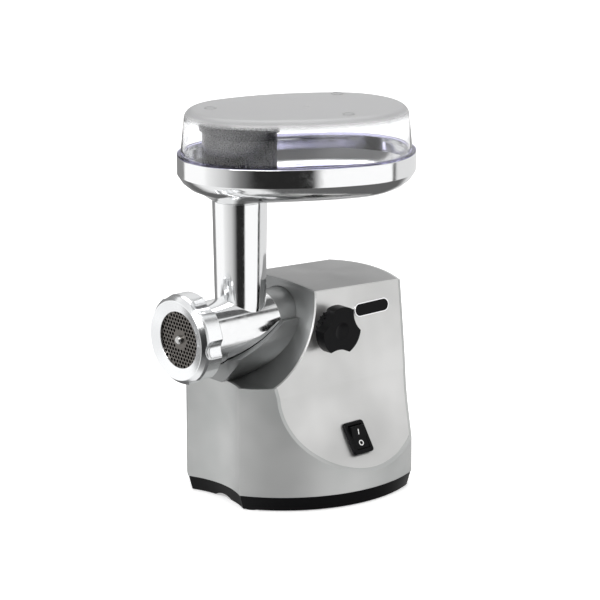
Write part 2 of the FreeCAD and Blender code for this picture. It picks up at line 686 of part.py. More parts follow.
def motor_bearings():
    races = []
    for y0, y1 in (BRACKET_FRONT, BRACKET_REAR):
        races.append(tube_y(8.0, MOTOR_SHAFT_R + RUN, y0, y1, 0, MOTOR_Z))
    return Part.makeCompound(races)


def motor_bolts():
    """Two long bolts hold both brackets to the stator."""
    length = BRACKET_REAR[1] - BRACKET_FRONT[0] - 1
    one = screw(2.0, length, 3.6, 1.8, V(0, BRACKET_REAR[1], MOTOR_Z), Y_AXIS * -1)
    return spread(one, [V(-BOLT_X, 0, 0), V(BOLT_X, 0, 0)])


def motor_shaft():
    return cyl_y(MOTOR_SHAFT_R, PLANE_FIRST[0] - 1, BRACKET_REAR[1] + 1, 0, MOTOR_Z)


def motor_cradle():
    """Moulded saddle that carries the motor on the base."""
    body = block(-34, 34, 118, 142, FLOOR_TOP, MOTOR_Z - 14)
    return body.cut(cyl_y(STATOR_R + RUN, 100, 160, 0, MOTOR_Z)).cut(block(-24, 24, 110, 150, 9, 26))


def terminal_block():
    body = block(-58, -38, 60, 76, FLOOR_TOP, FLOOR_TOP + 12)
    for y in (64, 72):
        body = body.cut(cyl_z(1.6, FLOOR_TOP + 5, 30, -48, y)).cut(cyl_x(1.4, -60, -30, y, FLOOR_TOP + 4))
    return body


# --- head ---------------------------------------------------------------------------------
def key_pin(low):
    """The mouth's key, or with a lower start the slot for it."""
    return cyl_z(1.5, AXIS_Z + PLATE_R - low, AXIS_Z + THREAD_R - 0.4, 0, MOUTH_Y + 1.6)


def grinder_head():
    """Barrel and feed neck in one casting, with the mouth and the rear spigot."""
    barrel = lathe_y([(0, MOUTH_Y), (THREAD_R, MOUTH_Y), (THREAD_R, RING_REAR + 1),
                      (BARREL_R + 0.8, RING_REAR + 3), (BARREL_R, RING_REAR + 7),
                      (BARREL_R, BARREL_REAR), (SPIGOT_R, BARREL_REAR), (SPIGOT_R, SPIGOT_REAR),
                      (0, SPIGOT_REAR)])
    neck = Part.makeCone(NECK_R_LOW, NECK_R_TOP, NECK_TOP - AXIS_Z, V(0, 0, AXIS_Z), Z_AXIS)
    body = fuse([barrel, neck])
    hollows = [
        cyl_y(PLATE_R + 0.25, MOUTH_Y - 1, PLATE_FRONT + PLATE_T + 0.1),
        cyl_y(28.0, MOUTH_Y + 1, MOUTH_Y + 10),
        cyl_y(BORE_R, MOUTH_Y, 38),
        cyl_y(8.1, 30, 50),
        cyl_y(21.0, 44, SPIGOT_REAR + 1),
        cyl_z(THROAT_R, AXIS_Z, NECK_TOP + 1),
        cyl_z(22.6, NECK_TOP - 14, NECK_TOP + 1),
        key_pin(1.0),
        cyl_z(40.0, NECK_TOP - 1.2, NECK_TOP + 1).cut(cyl_z(24.7, NECK_TOP - 2, NECK_TOP + 2)),
    ]
    for hollow in hollows:
        body = body.cut(hollow)
    return body


def plate_key():
    """Small pin in the mouth that stops the screen plate from turning."""
    return key_pin(0.9)


def ring_nut():
    """Ring with a dished face and six flutes that run out in an arch behind the face."""
    outline = [(APERTURE_R, DISH_Y), (FACE_R, RING_FRONT), (RING_R - 1.2, RING_FRONT + 4.2),
               (RING_R, RING_FRONT + 6.5), (RING_R, RING_REAR - 1), (RING_R - 1, RING_REAR),
               (THREAD_R + GAP, RING_REAR), (THREAD_R + GAP, RING_LIP), (APERTURE_R, RING_LIP)]
    body = lathe_y(outline)
    bite, valley, arch_y = 13.0, 38.2, RING_FRONT + 10
    reach = valley + bite
    flute = cyl_y(bite, arch_y, RING_REAR + 1, reach, AXIS_Z)
    arch = Part.makeSphere(bite, V(reach, arch_y, AXIS_Z))
    flute = flute.fuse(arch)
    for k in range(6):
        turned_flute = flute.copy()
        turned_flute.rotate(V(0, 0, AXIS_Z), Y_AXIS, 60 * k + 3)
        body = body.cut(turned_flute)
    return body


def hole_grid(radius, pitch, inner, outer):
    """Centres of a hexagonal pattern between two circles."""
    rows = int(outer / pitch) + 2
    places = []
    for row in range(-rows, rows + 1):
        for column in range(-rows, rows + 1):
            x = (column + 0.5 * (row % 2)) * pitch
            z = row * pitch * math.sqrt(3) / 2
            if inner + radius < math.hypot(x, z) < outer - radius:
                places.append((x, z))
    return places


def perforated_disc(y0, hole_radius, pitch, key):
    """Screen plate with its front at y0; key cuts the notch for the mouth's key."""
    disc = cyl_y(PLATE_R, y0, y0 + PLATE_T).cut(cyl_y(4.1, y0 - 1, y0 + PLATE_T + 1))
    holes = [cyl_y(hole_radius, y0 - 1, y0 + PLATE_T + 1, x, AXIS_Z + z)
             for x, z in hole_grid(hole_radius, pitch, 7.6, 27.2)]
    disc = disc.cut(Part.makeCompound(holes))
    if key:
        notch = block(-1.9, 1.9, y0 - 1, y0 + PLATE_T + 1, AXIS_Z + PLATE_R - 1.3, AXIS_Z + 40)
        disc = disc.cut(notch)
    return disc


def screen_plate():
    return perforated_disc(PLATE_FRONT, 1.5, 4.1, True)


def spare_plates():
    """Two coarser plates, laid flat in the pusher's store."""
    plates = []
    stack = ((2.25, 6.2, STORE_FLOOR), (4.0, 10.6, STORE_FLOOR + PLATE_T + 0.2))
    for hole_radius, pitch, height in stack:
        disc = perforated_disc(0, hole_radius, pitch, False).translated(V(0, 0, -AXIS_Z))
        disc.rotate(V(0, 0, 0), X_AXIS, 90)
        plates.append(disc.translated(V(0, 0, height)))
    return Part.makeCompound(plates)


KNIFE_FRONT = PLATE_FRONT + PLATE_T + 0.15
KNIFE_T = 6.0


def cutter_blade():
    """Four-armed cutter that sits on the screw's square and wipes the plate."""
    outline = [V(4, 0, -3.6), V(24, 0, -5.6), V(25.5, 0, 1.5), V(7, 0, 4.6)]
    arm = polygon(outline).extrude(V(0, KNIFE_T, 0))
    arms = []
    for k in range(4):
        turned = arm.copy()
        turned.rotate(V(0, 0, 0), Y_AXIS, 90 * k)
        arms.append(turned)
    body = fuse(arms + [cyl_y(9.5, 0, KNIFE_T, 0, 0)])
    body = body.cut(block(-4.55, 4.55, -1, KNIFE_T + 1, -4.55, 4.55))
    return body.translated(V(0, KNIFE_FRONT, AXIS_Z))


SCREW_FRONT, SCREW_REAR = KNIFE_FRONT + KNIFE_T + 0.2, 35.5
FLIGHT_R, CORE_FRONT, CORE_REAR = 23.6, 8.0, 11.5
FLIGHT_PITCH = 24.0


def feed_screw():
    """Tapered core with one helical flight, and the square that drives the cutter."""
    start, end = SCREW_FRONT + 1.0, SCREW_REAR - 3.0
    length = SCREW_REAR - SCREW_FRONT
    core = Part.makeCone(CORE_FRONT, CORE_REAR, length, V(0, SCREW_FRONT, AXIS_Z), Y_AXIS)
    square = block(-4.5, 4.5, KNIFE_FRONT + 0.3, SCREW_FRONT, AXIS_Z - 4.5, AXIS_Z + 4.5)
    helix = Part.makeHelix(FLIGHT_PITCH, end - start - 5.0, FLIGHT_R)
    inner, outer = 6.0, FLIGHT_R
    section = Part.makePolygon([V(inner, 0, -0.2), V(outer, 0, 1.1), V(outer, 0, 3.5),
                                V(inner, 0, 5.0), V(inner, 0, -0.2)])
    sweep = Part.BRepOffsetAPI.MakePipeShell(Part.Wire(helix))
    sweep.setBiNormalMode(Z_AXIS)
    sweep.add(section)
    sweep.build()
    sweep.makeSolid()
    flight = sweep.shape()
    flight.rotate(V(0, 0, 0), X_AXIS, -90)
    flight.translate(V(0, start, AXIS_Z))
    rear = cyl_y(FLIGHT_R, SCREW_REAR - 2.5, SCREW_REAR)
    body = fuse([core, rear, square]).fuse(flight)
    return body.cut(cyl_y(3.2, KNIFE_FRONT - 1, SCREW_FRONT + 12))


def screw_pin():
    """Hard pin in the nose of the screw, running in the plate's centre hole."""
    nose = PLATE_FRONT - 3.8
    tail = SCREW_FRONT + 11.5
    return lathe_y([(0, nose), (2.6, nose), (4.0, nose + 1.4), (4.0, KNIFE_FRONT),
                    (3.2, KNIFE_FRONT + 0.3), (3.2, tail), (0, tail)])


def thrust_washer():
    return tube_y(14.0, 8.1, SCREW_REAR, SCREW_REAR + 2.0)


def drive_coupling():
    """Plastic coupling on the back of the screw, turned by the output shaft's socket."""
    shaft = cyl_y(8.0, SCREW_REAR, CUP_FRONT - 2)
    return shaft.fuse(hexagon_y(HEX_AF, CUP_FRONT - 2, CUP_REAR - 3.2)).removeSplitter()


# --- tray, cover, pusher ------------------------------------------------------------------
def egg(offset, z):
    """Egg-shaped outline about the neck: two round ends joined by two long arcs."""
    small, big = EGG_SMALL_R + offset, EGG_BIG_R + offset
    side = EGG_SIDE_R + offset
    gap = EGG_BIG - EGG_SMALL
    along = ((side - small) ** 2 - (side - big) ** 2 + gap ** 2) / (2 * gap)
    across = math.sqrt((side - small) ** 2 - along ** 2)
    centre = V(EGG_SMALL + along, -across, 0)

    def touch(end_x, radius):
        away = V(end_x, 0, 0) - centre
        return V(end_x, 0, 0) + away * (radius / away.Length)

    near, far = touch(EGG_SMALL, small), touch(EGG_BIG, big)
    toward = (near + far) * 0.5 - centre
    crest = centre + toward * (side / toward.Length)

    def flip(p):
        return V(p.x, -p.y, 0)

    edges = [arc(flip(near), V(EGG_SMALL - small, 0, 0), near), arc(near, crest, far),
             arc(far, V(EGG_BIG + big, 0, 0), flip(far)), arc(flip(far), flip(crest), flip(near))]
    wire = Part.Wire(edges)
    wire.rotate(V(0, 0, 0), Z_AXIS, 90 - TRAY_TURN)
    return wire.translated(V(0, 0, z))


def ring_wire(radius, z):
    """A circle in four arcs whose ends face the egg's, so that a loft does not twist."""
    def at(degrees):
        t = math.radians(degrees)
        return V(radius * math.cos(t), radius * math.sin(t), 0)

    edges = [arc(at(-110), at(180), at(110)), arc(at(110), at(77), at(45)),
             arc(at(45), at(0), at(-45)), arc(at(-45), at(-77), at(-110))]
    wire = Part.Wire(edges)
    wire.rotate(V(0, 0, 0), Z_AXIS, 90 - TRAY_TURN)
    return wire.translated(V(0, 0, z))


def funnel(inset, lift):
    """Solid bowl from the rim band down to the neck."""
    sections = [egg(offset - inset, z + lift) for offset, z in BOWL]
    return Part.makeLoft(sections + [ring_wire(27.5 - inset, NECK_TOP + lift)], True, True)


def tray():
    band = Part.Face(egg(0, TRAY_BAND)).extrude(V(0, 0, TRAY_RIM - TRAY_BAND))
    outer = fuse([band, funnel(0, 0)])
    hollow_band = Part.Face(egg(-TRAY_T, TRAY_BAND + TRAY_T)).extrude(V(0, 0, 40))
    shell = outer.cut(fuse([hollow_band, funnel(TRAY_T, TRAY_T)]))
    floor = cyl_z(27.2, NECK_TOP + 0.05, NECK_TOP + TRAY_T + 0.6)
    bore = THROAT_R + 0.3
    spout = lathe_z([(bore, NECK_TOP - 13), (22.5, NECK_TOP - 13), (22.5, NECK_TOP + 1),
                     (bore, NECK_TOP + 1)])
    return fuse([shell, floor.common(outer), spout]).cut(cyl_z(bore, 200, 320))


def dish(inset, lift, drop):
    """Upside-down dish on the egg's outline, with a rounded shoulder."""
    wall_in = -3.4
    shoulder_z, shoulder_in = COVER_TOP - COVER_SHOULDER, wall_in - 3.2
    steps = [(wall_in, TRAY_RIM + lift), (shoulder_in, shoulder_z)]
    for k in range(1, 6):
        t = math.radians(18 * k)
        steps.append((shoulder_in - SHOULDER_IN * (1 - math.cos(t)),
                      shoulder_z + COVER_SHOULDER * math.sin(t)))
    sections = [egg(offset - inset, z - (drop if k else 0)) for k, (offset, z) in enumerate(steps)]
    return Part.makeLoft(sections, True, True)


def cover():
    """Clear dish over the tray, with a flange on the rim, a locating lip and three feet."""
    shell = dish(0, 0.1, 0).cut(dish(COVER_T, -1, COVER_T))
    flange = Part.Face(egg(0, TRAY_RIM + 0.1)).extrude(V(0, 0, 1.7))
    flange = flange.cut(Part.Face(egg(-4.6, TRAY_RIM)).extrude(V(0, 0, 3)))
    lip = Part.Face(egg(-TRAY_T - GAP, TRAY_RIM - 4)).extrude(V(0, 0, 5.5))
    lip = lip.cut(Part.Face(egg(-TRAY_T - GAP - 3.6, TRAY_RIM - 5)).extrude(V(0, 0, 8)))
    feet = []
    for along, aside in COVER_FEET:
        x, y = turned(along, aside)
        pad = cyl_z(6.0, COVER_TOP - 0.5, COVER_TOP + 0.6, x, y)
        feet.append(pad.cut(cyl_z(4.4, COVER_TOP - 1, COVER_TOP + 1, x, y)))
    return fuse([shell, flange, lip] + feet)


def turned(along, aside):
    """A point given along and across the tray's long axis, from the neck."""
    a = math.radians(TRAY_TURN)
    return along * math.sin(a) + aside * math.cos(a), along * math.cos(a) - aside * math.sin(a)


STEM_R, STEM_LOW, STORE_FLOOR = 19.4, 205.0, 302.0


def pusher():
    """Hollow stem with a wide head that is also a box for the spare plates."""
    outer = lathe_z([(0, STEM_LOW), (STEM_R - 2, STEM_LOW), (STEM_R, STEM_LOW + 2),
                     (STEM_R, NECK_TOP + 3.2), (PUSHER_R, NECK_TOP + 12.7),
                     (PUSHER_R, PUSHER_TOP - 7.8), (0, PUSHER_TOP - 7.8)])
    store = cyl_z(PUSHER_R - 2, STORE_FLOOR, 400)
    stem_hollow = cyl_z(STEM_R - 2.2, STEM_LOW + 2.5, STORE_FLOOR - 3)
    return outer.cut(store).cut(stem_hollow)


def pusher_lid():
    inner, outer, under = PUSHER_R + 0.2, PUSHER_R + 2.4, PUSHER_TOP - 2.4
    cap = lathe_z([(0, under), (inner, under), (inner, PUSHER_TOP - 7.6), (outer, PUSHER_TOP - 7.6),
                   (outer, PUSHER_TOP - 0.8), (outer - 0.8, PUSHER_TOP), (0, PUSHER_TOP)])
    plug = cyl_z(PUSHER_R - 2.3, PUSHER_TOP - 12, under).cut(cyl_z(PUSHER_R - 4.3, 300, under))
    return cap.fuse(plug).removeSplitter()


# --- everything ---------------------------------------------------------------------------
def all_parts():
    parts = housing()
    parts.update({
        "base_plate": base_plate(),
        "rubber_feet": rubber_feet(),
        "base_screws": base_screws(),
        "head_socket_sleeve": socket_sleeve(),
        "head_cradle": head_cradle(),
        "clamp_nut": clamp_nut(),
        "badge_plate": badge_plate(),
        "switch_frame": switch_frame(),
        "switch_rocker": switch_rocker(),
        "lock_knob": lock_knob(),
        "clamp_stud": clamp_stud(),
        "inlet_gland": inlet_gland(),
        "gearbox_case": gearbox_case(),
        "gearbox_cover": gearbox_cover(),
        "gearbox_screws": gearbox_screws(),
        "shaft_bushes": shaft_bushes(),
        "output_gear": big_gear(OUT_TEETH, MODULE_OUT, PLANE_OUT, AXIS_Z, OUT_SHAFT_R),
        "output_shaft": output_shaft(),
        "second_pinion": pinion(MODULE_OUT, PLANE_OUT, SECOND_Z, MID_SHAFT_R),
        "second_gear": big_gear(GEAR_TEETH, MODULE_SECOND, PLANE_SECOND, SECOND_Z, MID_SHAFT_R),
        "second_shaft": middle_shaft(SECOND_Z),
        "first_pinion": pinion(MODULE_SECOND, PLANE_SECOND, FIRST_Z, MID_SHAFT_R),
        "first_gear": big_gear(GEAR_TEETH, MODULE_FIRST, PLANE_FIRST, FIRST_Z, MID_SHAFT_R),
        "first_shaft": middle_shaft(FIRST_Z),
        "motor_pinion": pinion(MODULE_FIRST, PLANE_FIRST, MOTOR_Z, MOTOR_SHAFT_R),
        "motor_shaft": motor_shaft(),
        "rotor_core": rotor_core(),
        "rotor_windings": rotor_windings(),
        "commutator": commutator(),
        "cooling_fan": cooling_fan(),
        "motor_stator": motor_stator(),
        "field_coils": field_coils(),
        "carbon_brushes": carbon_brushes(),
        "brush_holders": brush_holders(),
        "motor_front_bracket": motor_bracket(BRACKET_FRONT),
        "motor_rear_bracket": motor_bracket(BRACKET_REAR),
        "motor_bearings": motor_bearings(),
        "motor_bolts": motor_bolts(),
        "motor_cradle": motor_cradle(),
        "terminal_block": terminal_block(),
        "grinder_head": grinder_head(),
        "plate_key": plate_key(),
        "ring_nut": ring_nut(),
        "screen_plate": screen_plate(),
        "cutter_blade": cutter_blade(),
        "feed_screw": feed_screw(),
        "screw_pin": screw_pin(),
        "thrust_washer": thrust_washer(),
        "drive_coupling": drive_coupling(),
        "tray": tray(),
        "tray_cover": cover(),
        "pusher": pusher(),
        "pusher_lid": pusher_lid(),
        "spare_plates": spare_plates(),
    })
    return parts


def export(parts):
    os.makedirs("parts", exist_ok=True)
    for name, shape in parts.items():
        placed = shape.translated(V(-ORIGIN_X, -ORIGIN_Y, -TABLE_Z))
        solids = placed.Solids
        placed = solids[0] if len(solids) == 1 else Part.makeCompound(solids)
        placed.exportStep(os.path.join("parts", name + ".step"))


export(all_parts())
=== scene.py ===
"""Electric meat grinder: looks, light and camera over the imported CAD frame.

Metres, z up, -y is the nozzle end, +x the side with the lock knob and the switch.
"""
import json
import math

import bmesh
import bpy
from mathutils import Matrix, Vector


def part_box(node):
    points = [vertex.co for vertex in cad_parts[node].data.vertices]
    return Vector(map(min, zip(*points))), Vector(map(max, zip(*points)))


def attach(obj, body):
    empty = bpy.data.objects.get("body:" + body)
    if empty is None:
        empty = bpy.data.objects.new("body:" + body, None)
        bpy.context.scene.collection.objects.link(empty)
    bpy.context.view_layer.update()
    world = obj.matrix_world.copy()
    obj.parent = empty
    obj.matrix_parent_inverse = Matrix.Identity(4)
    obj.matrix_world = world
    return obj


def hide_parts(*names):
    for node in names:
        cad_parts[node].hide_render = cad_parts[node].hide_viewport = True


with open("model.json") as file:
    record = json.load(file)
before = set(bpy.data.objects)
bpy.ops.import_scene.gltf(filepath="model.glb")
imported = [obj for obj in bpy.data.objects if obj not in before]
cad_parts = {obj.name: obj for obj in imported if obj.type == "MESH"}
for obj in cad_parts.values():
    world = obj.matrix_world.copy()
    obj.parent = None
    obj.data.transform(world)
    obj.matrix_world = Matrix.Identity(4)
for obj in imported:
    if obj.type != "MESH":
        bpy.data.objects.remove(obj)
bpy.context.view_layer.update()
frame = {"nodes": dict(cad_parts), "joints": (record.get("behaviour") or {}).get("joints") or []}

MM = 0.001
NODES = frame["nodes"]


def middle_of(node):
    low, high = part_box(node)
    return (low + high) / 2


NECK = middle_of("pusher")          # x and y of the feed neck's axis
RIM_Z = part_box("tray")[1].z / MM    # heights in millimetres follow from the tray's rim


# --- shader helpers -----------------------------------------------------------------------
def new_material(name, **sockets):
    """A Principled material; sockets are given by name with underscores for spaces."""
    material = bpy.data.materials.new(name)
    material.use_nodes = True
    for key, value in sockets.items():
        shader_of(material).inputs[key.replace("_", " ")].default_value = value
    return material


def shader_of(material):
    return material.node_tree.nodes["Principled BSDF"]


def add(tree, kind, **settings):
    node = tree.nodes.new(kind)
    for key, value in settings.items():
        setattr(node, key, value)
    return node


def noise(material, stretch, detail=3.0, roughness=0.5):
    """Noise in object space; stretch is the number of features per metre along each axis."""
    tree = material.node_tree
    mapping = add(tree, "ShaderNodeMapping")
    mapping.inputs["Scale"].default_value = stretch
    texture = add(tree, "ShaderNodeTexNoise")
    texture.inputs["Scale"].default_value = 1.0
    texture.inputs["Detail"].default_value = detail
    texture.inputs["Roughness"].default_value = roughness
    tree.links.new(add(tree, "ShaderNodeTexCoord").outputs["Object"], mapping.inputs["Vector"])
    tree.links.new(mapping.outputs["Vector"], texture.inputs["Vector"])
    return texture.outputs["Fac"]


def spread(material, source, low, high, start=0.3, stop=0.7):
    """A value spread between low and high as the source goes from start to stop."""
    node = add(material.node_tree, "ShaderNodeMapRange", interpolation_type="SMOOTHSTEP")
    for name, value in (("From Min", start), ("From Max", stop), ("To Min", low), ("To Max", high)):
        node.inputs[name].default_value = value
    material.node_tree.links.new(source, node.inputs["Value"])
    return node.outputs["Result"]


def drive(material, socket, source):
    material.node_tree.links.new(source, shader_of(material).inputs[socket])


def tint(material, source, low, high):
    """A colour that wanders between two values with the source."""
    node = add(material.node_tree, "ShaderNodeMix", data_type="RGBA")
    node.inputs["A"].default_value = (*low, 1.0)
    node.inputs["B"].default_value = (*high, 1.0)
    material.node_tree.links.new(source, node.inputs["Factor"])
    drive(material, "Base Color", node.outputs["Result"])


def relief(material, source, depth, edge=0.0):
    """Bump of the given depth, over edges rounded by the given radius."""
    tree = material.node_tree
    bump = add(tree, "ShaderNodeBump")
    bump.inputs["Distance"].default_value = depth
    tree.links.new(source, bump.inputs["Height"])
    if edge:
        bevel = add(tree, "ShaderNodeBevel", samples=8)
        bevel.inputs["Radius"].default_value = edge
        tree.links.new(bevel.outputs["Normal"], bump.inputs["Normal"])
    drive(material, "Normal", bump.outputs["Normal"])


# --- materials ----------------------------------------------------------------------------
ACROSS_X, ACROSS_Z = 0, 2   # the axis across a sheet's brush lines
WAVE_PERIOD = 0.314         # metres between rings of a wave texture at scale 1


def brushed_metal(name, dark, light, roughness, brush_axis, shine=1.0, edge=0.5 * MM):
    """Sheet metal with fine brush lines; brush_axis is ACROSS_X or ACROSS_Z."""
    material = new_material(name, Metallic=shine, Anisotropic=0.5)
    stretch = [40.0, 40.0, 40.0]
    stretch[brush_axis] = 3200.0
    lines = noise(material, stretch, detail=4.0, roughness=0.6)
    clouds = noise(material, (14.0, 14.0, 14.0), detail=2.0)
    tint(material, spread(material, clouds, 0.0, 1.0), dark, light)
    drive(material, "Roughness", spread(material, lines, roughness - 0.04, roughness + 0.05))
    relief(material, lines, 0.0012 * MM, edge)
    tangent = add(material.node_tree, "ShaderNodeTangent", direction_type="RADIAL", axis="Z")
    drive(material, "Tangent", tangent.outputs["Tangent"])
    return material


def polished_metal(name, colour, roughness, spots=160.0, depth=0.002 * MM, edge=0.6 * MM):
    """Bright metal with faint cloudiness in its gloss."""
    material = new_material(name, Base_Color=(*colour, 1.0), Metallic=1.0)
    cloud = noise(material, (spots, spots, spots), detail=5.0)
    drive(material, "Roughness", spread(material, cloud, roughness * 0.75, roughness * 1.35))
    relief(material, cloud, depth, edge)
    return material


def turned_metal(name, colour, roughness, groove=0.35 * MM, depth=0.002 * MM):
    """Metal turned on a lathe about the barrel's axis, with fine concentric lines."""
    material = new_material(name, Base_Color=(*colour, 1.0), Metallic=1.0)
    tree = material.node_tree
    axis = middle_of("ring_nut")
    centred = add(tree, "ShaderNodeMapping")
    centred.inputs["Location"].default_value = (-axis.x, 0.0, -axis.z)
    tree.links.new(add(tree, "ShaderNodeTexCoord").outputs["Object"], centred.inputs["Vector"])
    rings = add(tree, "ShaderNodeTexWave", wave_type="RINGS", rings_direction="Y")
    rings.inputs["Scale"].default_value = WAVE_PERIOD / groove
    rings.inputs["Distortion"].default_value = 0.6
    tree.links.new(centred.outputs["Vector"], rings.inputs["Vector"])
    lines = rings.outputs["Fac"]
    drive(material, "Roughness", spread(material, lines, roughness * 0.9, roughness * 1.2))
    relief(material, lines, depth, 0.8 * MM)
    return material


def moulded_plastic(name, colour, roughness, grain=900.0, depth=0.01 * MM, gloss=0.35, shine=0.0):
    """Plastic with a fine spark-eroded grain."""
    material = new_material(name, Specular_IOR_Level=gloss, Metallic=shine)
    speckle = noise(material, (grain, grain, grain), detail=3.0)
    patches = noise(material, (40.0, 40.0, 40.0), detail=2.0)
    darker = tuple(0.85 * value for value in colour)
    tint(material, spread(material, patches, 0.0, 1.0), darker, colour)
    drive(material, "Roughness", spread(material, speckle, roughness - 0.05, roughness + 0.05))
    relief(material, speckle, depth, 0.5 * MM)
    return material


def cover_plastic(name, clear, milky):
    """Clear wall that turns milky over the shoulder and the top."""
    material = new_material(name, IOR=1.49)
    tree = material.node_tree
    split = add(tree, "ShaderNodeSeparateXYZ")
    tree.links.new(add(tree, "ShaderNodeTexCoord").outputs["Object"], split.inputs["Vector"])
    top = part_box("tray_cover")[1].z
    height = split.outputs["Z"]
    start, stop = top - 11 * MM, top - 2 * MM
    tint(material, spread(material, height, 0.0, 1.0, start, stop), clear, milky)
    drive(material, "Transmission Weight", spread(material, height, 1.0, 0.35, start, stop))
    drive(material, "Roughness", spread(material, height, 0.02, 0.40, start, stop))
    return material


def edge_plastic(name, colour):
    """Clear plastic that gathers colour along its cut edge, with a slightly uneven gloss."""
    material = new_material(name, Base_Color=(*colour, 1.0), Transmission_Weight=1.0, IOR=1.49)
    cloud = noise(material, (200.0, 200.0, 200.0))
    drive(material, "Roughness", spread(material, cloud, 0.02, 0.06))
    return material


def every_finish():
    """One material for each slot of the CAD model, and those of the pieces made here."""
    return [
        brushed_metal("brushed_panel", (0.63, 0.63, 0.622), (0.76, 0.758, 0.75), 0.34, ACROSS_Z, 0.90),
        brushed_metal("skirt_metal", (0.44, 0.45, 0.445), (0.54, 0.545, 0.54), 0.42, ACROSS_Z, 0.70),
        brushed_metal("top_metal", (0.28, 0.28, 0.28), (0.33, 0.33, 0.33), 0.36, ACROSS_X, 0.95),
        brushed_metal("recess_metal", (0.23, 0.235, 0.235), (0.27, 0.275, 0.275), 0.34, ACROSS_Z, 0.85),
        polished_metal("polished_aluminium", (0.90, 0.905, 0.91), 0.11, edge=0.5 * MM),
        turned_metal("turned_aluminium", (0.93, 0.94, 0.95), 0.17),
        polished_metal("screen_steel", (0.15, 0.14, 0.13), 0.34, 500.0, 0.01 * MM, 0.15 * MM),
        polished_metal("tool_steel", (0.55, 0.55, 0.54), 0.20),
        polished_metal("chrome_trim", (0.90, 0.90, 0.91), 0.07, edge=0.3 * MM),
        polished_metal("zinc_steel", (0.62, 0.62, 0.60), 0.32),
        polished_metal("gear_steel", (0.50, 0.50, 0.50), 0.34),
        polished_metal("case_aluminium", (0.60, 0.60, 0.60), 0.42, 400.0, 0.05 * MM),
        polished_metal("lamination", (0.34, 0.34, 0.35), 0.45, 700.0, 0.04 * MM),
        polished_metal("copper", (0.78, 0.38, 0.20), 0.32, 800.0, 0.05 * MM),
        polished_metal("bronze", (0.62, 0.44, 0.22), 0.38),
        moulded_plastic("black_plastic", (0.004, 0.004, 0.0045), 0.34, gloss=0.10),
        moulded_plastic("dark_plastic", (0.13, 0.13, 0.132), 0.26, 900.0, 0.003 * MM, 0.4, 0.85),
        moulded_plastic("white_plastic", (0.80, 0.80, 0.79), 0.40),
        moulded_plastic("gear_plastic", (0.72, 0.70, 0.62), 0.42),
        moulded_plastic("black_rubber", (0.008, 0.008, 0.008), 0.62, 600.0, 0.03 * MM, 0.1),
        moulded_plastic("carbon", (0.025, 0.025, 0.025), 0.55),
        cover_plastic("clear_cover", (0.958, 0.96, 0.966), (0.44, 0.44, 0.445)),
        edge_plastic("cover_edge", (0.42, 0.40, 0.72)),
    ]


def slot_name(named):
    """A material's name without the number that Blender adds to a repeated one."""
    return named.name.split(".")[0]


MATERIALS = {slot_name(material): material for material in every_finish()}


def dress_cad():
    """Every CAD node gets the finish named by its material slot."""
    for node in NODES.values():
        for held in node.material_slots:
            held.material = MATERIALS[slot_name(held)]
    NODES["ring_nut"].material_slots[0].material = MATERIALS["turned_aluminium"]


# --- mesh helpers -------------------------------------------------------------------------
def face_outwards(mesh):
    shell = bmesh.new()
    shell.from_mesh(mesh)
    bmesh.ops.recalc_face_normals(shell, faces=shell.faces)
    shell.to_mesh(mesh)
    shell.free()


def new_piece(name, points, faces, slot, body, sharp=35.0):
    """A smooth-shaded mesh with creases over the given angle, riding on a CAD body."""
    mesh = bpy.data.meshes.new(name)
    mesh.from_pydata(points, [], faces)
    face_outwards(mesh)
    mesh.shade_smooth()
    mesh.set_sharp_from_angle(angle=math.radians(sharp))
    mesh.materials.append(MATERIALS[slot])
    piece = bpy.data.objects.new(name, mesh)
    bpy.context.collection.objects.link(piece)
    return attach(piece, body)


def skin(rings, looped=False, cap_first=False, cap_last=False):
    """Points and faces of a surface over rings that all have the same number of points."""
    count = len(rings[0])
    points = [point for ring in rings for point in ring]
    last = len(rings) if looped else len(rings) - 1
    faces = []
    for k in range(last):
        a, b = k * count, (k + 1) % len(rings) * count
        faces += [(a + i, a + (i + 1) % count, b + (i + 1) % count, b + i) for i in range(count)]
    if cap_first:
        faces.append(tuple(reversed(range(count))))
    if cap_last:
        faces.append(tuple(range(len(points) - count, len(points))))
    return points, faces


# --- tray and cover -----------------------------------------------------------------------
# The tray's egg outline in millimetres from the neck, as in the CAD model.
TRAY_TURN = math.radians(28.7)
SMALL_AT, SMALL_R, BIG_AT, BIG_R, SIDE_R = 7.7, 65.3, 92.0, 73.3, 212.0
BAND_Z, NECK_Z, SKIN_T = RIM_Z - 17.2, RIM_Z - 40.7, 1.6
BOWL = [(0.0, BAND_Z), (-4.5, RIM_Z - 24.2), (-11.0, RIM_Z - 29.7), (-20.0, RIM_Z - 33.7)]
THROAT_R, SPOUT_R, SPOUT_Z, FOOT_R = 20.3, 22.5, NECK_Z - 13.0, 27.5
COVER_TOP, COVER_T, SHOULDER_R = RIM_Z + 43.2, 2.0, 9.5
WALL_LOW, WALL_HIGH = (-3.4, RIM_Z + 2.0), (-6.6, RIM_Z + 33.7)
LIP_GAP, LIP_WIDE, LIP_DEEP = 0.3, 3.6, 4.0
EDGE_LOW, EDGE_HIGH = RIM_Z + 0.2, RIM_Z + 1.95
# Sections are pairs of radius and height; places are along and across the tray's long axis.
COVER_FEET = [(-25.5, -8.0), (103.5, -50.0), (92.0, 46.0)]
FOOT_SECTION = [(4.4, -0.3), (4.5, 0.35), (4.9, 0.6), (5.5, 0.6), (5.9, 0.35), (6.0, -0.3)]
GATE_MARK = (61.5, 3.0)
GATE_SECTION = [(3.2, -0.2), (3.0, 0.1), (2.3, 0.3), (1.4, 0.3), (1.0, 0.12)]
ARC_STEPS = 24


